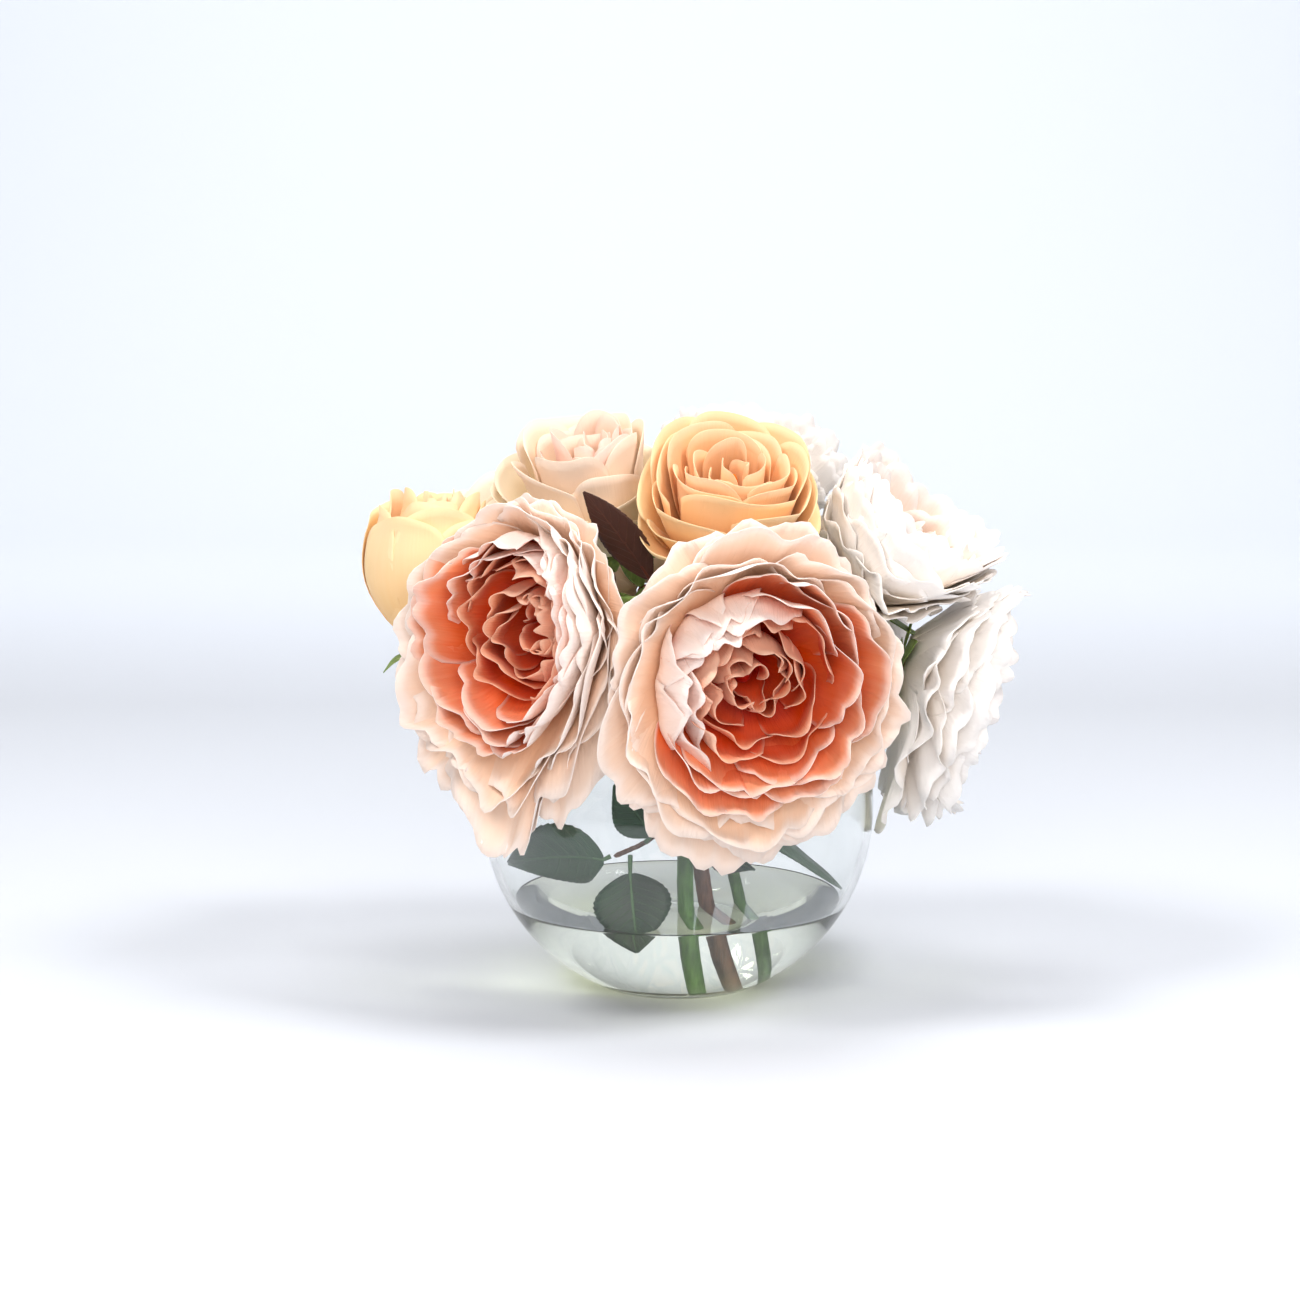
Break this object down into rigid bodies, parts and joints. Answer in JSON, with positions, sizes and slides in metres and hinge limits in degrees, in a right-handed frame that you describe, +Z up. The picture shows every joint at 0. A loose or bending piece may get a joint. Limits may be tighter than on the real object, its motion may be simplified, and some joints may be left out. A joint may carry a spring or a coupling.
{
  "type": "flower arrangement in a rose bowl",
  "caption": "Low dome of peonies and roses on branching stems, with a few leaves, standing in a round clear rose bowl with a clear set filling.",
  "frame": {"origin": "centre of the bowl's flat foot, on the surface it stands on", "axes": "+Z up along the bowl's axis, -Y towards the side with the large coral blooms, +X to its right"},
  "size_m": [0.2531, 0.2256, 0.2272],
  "materials": {
    "clear_glass": "clear, smooth, slightly grey at the edges",
    "clear_filling": "clear set resin with a faint green-yellow tint",
    "green_stem": "satin",
    "brown_stem": "satin, bark-like",
    "green_leaf": "satin woven leaf, printed veins",
    "burgundy_leaf": "satin woven leaf",
    "calyx": "matte",
    "coral_peony_outer": "soft woven petal, blush towards the edge",
    "coral_peony_inner": "soft woven petal, coral with a pale edge",
    "coral_peony_heart": "soft woven petal, deep coral",
    "cream_peony_outer": "soft woven petal, cream to pale blush",
    "cream_peony_inner": "soft woven petal, pale blush",
    "cream_peony_heart": "soft woven petal, warm blush",
    "apricot_rose_outer": "satin woven petal, apricot with a pale edge",
    "apricot_rose_inner": "satin woven petal, apricot",
    "apricot_rose_heart": "satin woven petal, deeper apricot",
    "blush_rose_outer": "satin woven petal, cream with pink tops",
    "blush_rose_inner": "satin woven petal, cream with pink tops",
    "blush_rose_heart": "satin woven petal, pink"
  },
  "bodies": {
    "root": {"glass_bowl": "clear_glass", "front_green_stem": "green_stem", "brown_stem": "brown_stem", "right_green_stem": "green_stem", "left_leaf": "green_leaf", "round_leaf": "green_leaf", "middle_leaf": "green_leaf", "right_leaf": "green_leaf", "small_leaf": "green_leaf", "burgundy_leaf": "burgundy_leaf", "clear_filling": "clear_filling", "front_peony_calyx": "calyx", "front_peony_outer_petals": "coral_peony_outer", "front_peony_inner_petals": "coral_peony_inner", "front_peony_heart": "coral_peony_heart", "left_peony_calyx": "calyx", "left_peony_outer_petals": "coral_peony_outer", "left_peony_inner_petals": "coral_peony_inner", "left_peony_heart": "coral_peony_heart", "top_rose_calyx": "calyx", "top_rose_outer_petals": "apricot_rose_outer", "top_rose_inner_petals": "apricot_rose_inner", "top_rose_heart": "apricot_rose_heart", "left_rose_calyx": "calyx", "left_rose_outer_petals": "apricot_rose_outer", "left_rose_inner_petals": "apricot_rose_inner", "left_rose_heart": "apricot_rose_heart", "blush_rose_calyx": "calyx", "blush_rose_outer_petals": "blush_rose_outer", "blush_rose_inner_petals": "blush_rose_inner", "blush_rose_heart": "blush_rose_heart", "right_peony_calyx": "calyx", "right_peony_outer_petals": "cream_peony_outer", "right_peony_inner_petals": "cream_peony_inner", "right_peony_heart": "cream_peony_heart", "low_right_peony_calyx": "calyx", "low_right_peony_outer_petals": "cream_peony_outer", "low_right_peony_inner_petals": "cream_peony_inner", "low_right_peony_heart": "cream_peony_heart", "crown_peony_calyx": "calyx", "crown_peony_outer_petals": "cream_peony_outer", "crown_peony_inner_petals": "cream_peony_inner", "crown_peony_heart": "cream_peony_heart", "back_peony_calyx": "calyx", "back_peony_outer_petals": "coral_peony_outer", "back_peony_inner_petals": "coral_peony_inner", "back_peony_heart": "coral_peony_heart", "back_right_peony_calyx": "calyx", "back_right_peony_outer_petals": "cream_peony_outer", "back_right_peony_inner_petals": "cream_peony_inner", "back_right_peony_heart": "cream_peony_heart", "back_left_rose_calyx": "calyx", "back_left_rose_outer_petals": "blush_rose_outer", "back_left_rose_inner_petals": "blush_rose_inner", "back_left_rose_heart": "blush_rose_heart"}
  },
  "joints": []
}
